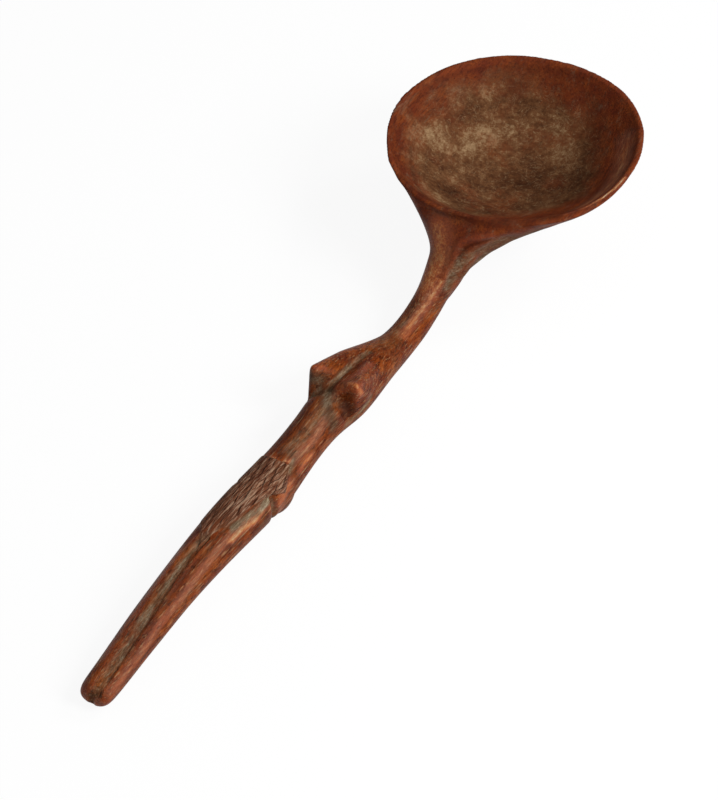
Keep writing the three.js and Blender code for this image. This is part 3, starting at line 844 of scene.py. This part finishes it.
# The bowl and the collar are scraped smoother than the handle and keep a more even red.
HANDLE_ENDS = (68, 85)
handle_from, handle_to = [end * MM for end in HANDLE_ENDS]
parts = add("SeparateXYZ", {"Vector": place})
on_handle = add(
    "MapRange",
    {"Value": parts.outputs["Y"], "From Min": handle_from, "From Max": handle_to, "To Min": 1, "To Max": 0},
).outputs["Result"]
even = add("MapRange", {"Value": on_handle, "To Min": 0.42, "To Max": 0}).outputs["Result"]
body = add("Mix", {0: even, 6: body, 7: linear("#6f3423")}, data_type="RGBA").outputs[2]

# Handling rubs the crests to orange wood and, in scratchy patches, to a pale shine. The same colours paint
# the highlights on the neck, waist, leg ridge, rim, collar and right breast.
PATCH_WIDTH = 1.6
patches = add(
    "TexNoise", {"Vector": along_grain, "Scale": 1 / (PATCH_WIDTH * MM), "Detail": 8, "Roughness": 0.85}
).outputs["Fac"]
scuffs = add(
    "MapRange", {"Value": patches, "From Min": 0.36, "From Max": 0.66, "To Min": 0.28, "To Max": 0.74}
).outputs["Result"]
worn_and_highlit = add("Math", {0: share["wear_and_highlight"], 1: scuffs}, operation="MULTIPLY").outputs[0]
bared_and_highlit = add("MapRange", {"Value": worn_and_highlit, "From Min": 0.1, "From Max": 0.42, "To Max": 0.85}).outputs["Result"]
worn_and_highlit_stops = ((0.28, "#963f16"), (0.4, "#b25c23"), (0.55, "#c0844c"), (0.72, "#d2b794"))
worn_and_highlit_colour = add("ValToRGB", {"Fac": worn_and_highlit}, stops=worn_and_highlit_stops).outputs["Color"]
body = add("Mix", {0: bared_and_highlit, 6: body, 7: worn_and_highlit_colour}, data_type="RGBA").outputs[2]

# Fine pale scratches run along the handle.
SCRATCHES_DRAWN = (1, 0.07, 1)
SCRATCH_WIDTH = 0.8
drawn_out = add("Mapping", {"Vector": place, "Scale": SCRATCHES_DRAWN}).outputs["Vector"]
scrape = add(
    "TexNoise", {"Vector": drawn_out, "Scale": 1 / (SCRATCH_WIDTH * MM), "Detail": 3, "Roughness": 0.6}
).outputs["Fac"]
scrape = add(
    "MapRange", {"Value": scrape, "From Min": 0.56, "From Max": 0.68, "To Max": 0.55}
).outputs["Result"]
scrape = add("Math", {0: scrape, 1: on_handle}, operation="MULTIPLY").outputs[0]
body = add("Mix", {0: scrape, 6: body, 7: linear("#ad845c")}, data_type="RGBA").outputs[2]

# Painted shade darkens the undersides, creases and cuts of the carving, and the bare wood inside the rim
# towards the left.
shade = add("Math", {0: share["dark"], 1: 0.9}, operation="MULTIPLY").outputs[0]
body = add("Mix", {0: shade, 6: body, 7: linear("#2a110a")}, data_type="RGBA").outputs[2]

# A grey film of old grime lies over parts of the spoon and in blotches in its cuts. The same film paints a
# grey sheen on the highlights of the rim, the collar, the neck and the waist.
FILM_WIDTH = 5
film = add(
    "TexNoise", {"Vector": along_grain, "Scale": 1 / (FILM_WIDTH * MM), "Detail": 9, "Roughness": 0.75}
).outputs["Fac"]
film_thin = add(
    "MapRange", {"Value": film, "From Min": 0.54, "From Max": 0.72, "To Max": 0.4}
).outputs["Result"]
film_thick = add(
    "MapRange", {"Value": film, "From Min": 0.38, "From Max": 0.58, "To Min": 0.3}
).outputs["Result"]
film_thick = add("Math", {0: film_thick, 1: share["grime_and_sheen"]}, operation="MULTIPLY").outputs[0]
film = add("Math", {0: film_thin, 1: film_thick}, operation="MAXIMUM", use_clamp=True).outputs[0]
film_stops = ((0.36, "#43321f"), (0.5, "#75614a"), (0.62, "#a99b80"))
film_colour = add("ValToRGB", {"Fac": patches}, stops=film_stops).outputs["Color"]
body = add("Mix", {0: film, 6: body, 7: film_colour}, data_type="RGBA").outputs[2]

# The apron is browner, with paler strands and painted shade darkening the cuts between them.
STRAND_WIDTH = 1
strand = add(
    "TexNoise", {"Vector": drawn_out, "Scale": 1 / (STRAND_WIDTH * MM), "Detail": 4, "Roughness": 0.75}
).outputs["Fac"]
strand_stops = ((0.38, "#361a12"), (0.5, "#6b4330"), (0.6, "#ad8d74"))
strands = add("ValToRGB", {"Fac": strand}, stops=strand_stops).outputs["Color"]
in_field = add(
    "MapRange", {"Value": share["weave"], "From Min": 0.05, "From Max": 0.3, "To Max": 0.75}
).outputs["Result"]
body = add("Mix", {0: in_field, 6: body, 7: strands}, data_type="RGBA").outputs[2]
in_cut = add(
    "MapRange", {"Value": share["weave"], "From Min": 0.34, "From Max": 0.8, "To Max": 0.85}
).outputs["Result"]
body = add("Mix", {0: in_cut, 6: body, 7: linear("#24120b")}, data_type="RGBA").outputs[2]

# Dried residue dulls the hollow of the bowl in clouds, with specks and rubbing marks, and painted light
# makes it paler on the left.
CLOUD_WIDTH = 24
RUBBING_DRAWN = (1, 0.12, 1)
RUBBING_WIDTH = 1.8
SPECK_WIDTH = 2
BLOTCH_WIDTH = 20
PALER_OVER = 45
cloud = add(
    "TexNoise", {"Vector": place, "Scale": 1 / (CLOUD_WIDTH * MM), "Detail": 11, "Roughness": 0.7}
).outputs["Fac"]
edge = add("Math", {0: cloud, 1: 2.4, 2: share["hollow"]}, operation="MULTIPLY_ADD").outputs[0]
residue = add("MapRange", {"Value": edge, "From Min": 1.3, "From Max": 2.2, "To Max": 0.95}).outputs["Result"]
round_bowl = add("Attribute", {}, attribute_name="polar").outputs["Vector"]
round_bowl = add("Mapping", {"Vector": round_bowl, "Scale": RUBBING_DRAWN}).outputs["Vector"]
rubbing = add(
    "TexNoise", {"Vector": round_bowl, "Scale": 1 / (RUBBING_WIDTH * MM), "Detail": 6, "Roughness": 0.7}
).outputs["Fac"]
speck = add(
    "TexNoise", {"Vector": place, "Scale": 1 / (SPECK_WIDTH * MM), "Detail": 8, "Roughness": 0.85}
).outputs["Fac"]
blotch = add(
    "TexNoise", {"Vector": place, "Scale": 1 / (BLOTCH_WIDTH * MM), "Detail": 9, "Roughness": 0.72}
).outputs["Fac"]
dust = add("Mix", {0: 0.25, 2: speck, 3: rubbing}).outputs[0]
dust = add("Mix", {0: 0.55, 2: dust, 3: blotch}).outputs[0]
painted_light_left = add(
    "MapRange",
    {
        "Value": parts.outputs["X"],
        "From Min": -PALER_OVER * MM,
        "From Max": PALER_OVER * MM,
        "To Min": 0.02,
        "To Max": -0.045,
    },
).outputs["Result"]
dust = add("Math", {0: dust, 1: painted_light_left}, operation="ADD").outputs[0]
dust_stops = ((0.37, "#2d180d"), (0.46, "#4c2f1c"), (0.53, "#68462c"), (0.62, "#a08461"))
dust_colour = add("ValToRGB", {"Fac": dust}, stops=dust_stops).outputs["Color"]
body = add("Mix", {0: residue, 6: body, 7: dust_colour}, data_type="RGBA").outputs[2]

# Fine pale scratches wander over the residue, along the lines where a noise is at its middle.
THREADS_APART = 6
thread = add(
    "TexNoise",
    {"Vector": place, "Scale": 1 / (THREADS_APART * MM), "Detail": 3, "Roughness": 0.6, "Distortion": 1.2},
).outputs["Fac"]
thread = add("Math", {0: thread, 1: 0.5}, operation="SUBTRACT").outputs[0]
thread = add("Math", {0: thread}, operation="ABSOLUTE").outputs[0]
thread = add("MapRange", {"Value": thread, "From Max": 0.014, "To Min": 0.5, "To Max": 0}).outputs["Result"]
scratch = add("Math", {0: thread, 1: share["hollow"]}, operation="MULTIPLY").outputs[0]
scratch = add("Math", {0: scratch, 1: speck}, operation="MULTIPLY").outputs[0]
body = add("Mix", {0: scratch, 6: body, 7: linear("#b79c76")}, data_type="RGBA").outputs[2]

# Grime and residue are dull, and what the hand rubs and where highlights are painted have more polish.
# Fibres and residue are a little rough.
ROUGH_DEPTH = 0.5
dull = add("Math", {0: film, 1: share["hollow"]}, operation="MAXIMUM").outputs[0]
sheen = add("MapRange", {"Value": dull, "To Min": 0.42, "To Max": 0.8}).outputs["Result"]
polish = add("MapRange", {"Value": share["wear_and_highlight"], "To Min": 0.03, "To Max": 0.35}).outputs["Result"]
rough = add("Mix", {0: residue, 2: fibre, 3: dust}).outputs[0]
relief = add("Bump", {"Height": rough, "Strength": 0.9, "Distance": ROUGH_DEPTH * MM}).outputs["Normal"]
finish = {"Base Color": body, "Roughness": sheen, "Normal": relief, "Specular IOR Level": polish}
surface = add("BsdfPrincipled", finish)
add("OutputMaterial", {"Surface": surface.outputs["BSDF"]})

FACETS_KEPT = 180000
mesh.calc_loop_triangles()
edit(spoon)
close(("DECIMATE", {"ratio": min(1, FACETS_KEPT / len(mesh.loop_triangles))}))
mesh.materials.clear()
mesh.materials.append(wood)
for polygon in mesh.polygons:
    polygon.use_smooth = True
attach(spoon, "root")
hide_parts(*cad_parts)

# Floor, light and camera
# A white paper floor that keeps a faint shadow, a large soft lamp on the right, a smaller one beyond the
# bowl and an even fill from all round. The camera has a long lens and looks down from the handle's end.
FLOOR_SIZE = 8
FLOOR_BELOW = 0.5
FLOOR_SHOWN_WHITE = 0.85
PAPER_WHITE = 1.08
FILL = 0.28
bpy.ops.object.select_all(action="DESELECT")
bpy.ops.mesh.primitive_plane_add(size=FLOOR_SIZE, location=(0, 0, cad_box[0].z - FLOOR_BELOW * MM))
floor = bpy.context.active_object
floor.name = "floor"
paper = bpy.data.materials.new("white_paper")
paper.use_nodes = True
tree = paper.node_tree
tree.nodes.clear()
rays = add("LightPath", {})
seen = rays.outputs["Is Camera Ray"]
for other_ray in ("Is Glossy Ray", "Is Transmission Ray"):
    seen = add("Math", {0: seen, 1: rays.outputs[other_ray]}, operation="ADD").outputs[0]
seen = add("Math", {0: seen, 1: FLOOR_SHOWN_WHITE}, operation="MULTIPLY").outputs[0]
matt = add("BsdfDiffuse", {"Color": linear("#c8c8c8")})
white = add("Emission", {"Color": (1, 1, 1, 1), "Strength": PAPER_WHITE})
shown = add("MixShader", {0: seen, 1: matt.outputs[0], 2: white.outputs[0]})
add("OutputMaterial", {"Surface": shown.outputs[0]})
floor.data.materials.append(paper)

world = bpy.data.worlds.new("studio")
bpy.context.scene.world = world
world.use_nodes = True
tree = world.node_tree
tree.nodes.clear()
rays = add("LightPath", {})
level = add(
    "MapRange", {"Value": rays.outputs["Is Camera Ray"], "To Min": FILL, "To Max": 1.0}
).outputs["Result"]
sky = add("Background", {"Color": (1, 1, 1, 1), "Strength": level})
add("OutputWorld", {"Surface": sky.outputs[0]})


def lamp(name, place, target, size, power):
    """A square soft lamp at a place, turned to a target."""
    light = bpy.data.lights.new(name, "AREA")
    light.shape = "SQUARE"
    light.size = size
    light.energy = power
    holder = bpy.data.objects.new(name, light)
    bpy.context.scene.collection.objects.link(holder)
    holder.location = place
    holder.rotation_euler = (Vector(target) - Vector(place)).to_track_quat("-Z", "Y").to_euler()


LAMPS_AIM = (0, 0, 0.03)
lamp("key", (1.1, 0.0, 0.9), LAMPS_AIM, 0.6, 16.5)
lamp("window", (0.62, 0.86, 1.0), LAMPS_AIM, 0.4, 5)

# The lens, the two angles and the aim come from fitting the rim and the outline in perspective.
IMAGE_TALL = 800
FOCAL_PIXELS = 3636
SENSOR = 36
AZIMUTH = math.radians(30)
ELEVATION = math.radians(42)
DISTANCE = 1.6
AIM = Vector((0.0200, -0.0269, 0.0365))
camera = bpy.data.cameras.new("camera")
camera.sensor_width = SENSOR
camera.lens = FOCAL_PIXELS / IMAGE_TALL * SENSOR
viewer = bpy.data.objects.new("camera", camera)
bpy.context.scene.collection.objects.link(viewer)
back = Vector((
    math.sin(AZIMUTH) * math.cos(ELEVATION),
    -math.cos(AZIMUTH) * math.cos(ELEVATION),
    math.sin(ELEVATION),
))
viewer.location = AIM + back * DISTANCE
viewer.rotation_euler = (-back).to_track_quat("-Z", "Y").to_euler()
bpy.context.scene.camera = viewer
bpy.context.scene.view_settings.view_transform = "Standard"
